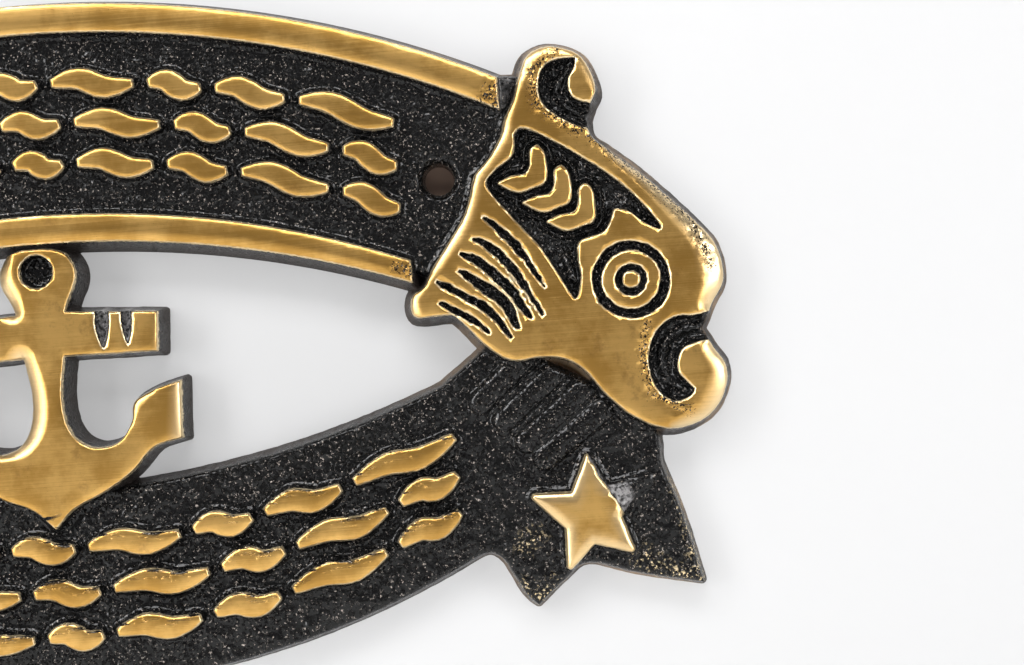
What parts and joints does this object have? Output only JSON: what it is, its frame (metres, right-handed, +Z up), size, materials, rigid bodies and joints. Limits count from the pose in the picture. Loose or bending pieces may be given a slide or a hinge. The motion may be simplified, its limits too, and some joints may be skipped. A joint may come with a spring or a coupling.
{
  "type": "door sign",
  "caption": "Cast brass door sign with an arched band, an anchor, scrolled fish heads and a starred ribbon, fixed flat to a door or wall by countersunk screws.",
  "frame": {"origin": "on the flat back, behind the crossing of the anchor's shank and stock", "axes": "+Z up as hung, +X to the viewer's right, +Y into the door, so the carved front faces -Y"},
  "size_m": [0.2322, 0.007, 0.1176],
  "materials": {
    "antique_brass": "satin brushed brass on the raised parts, black patina on the sunk cast ground"
  },
  "bodies": {
    "root": {"sign_casting": "antique_brass"}
  },
  "joints": []
}
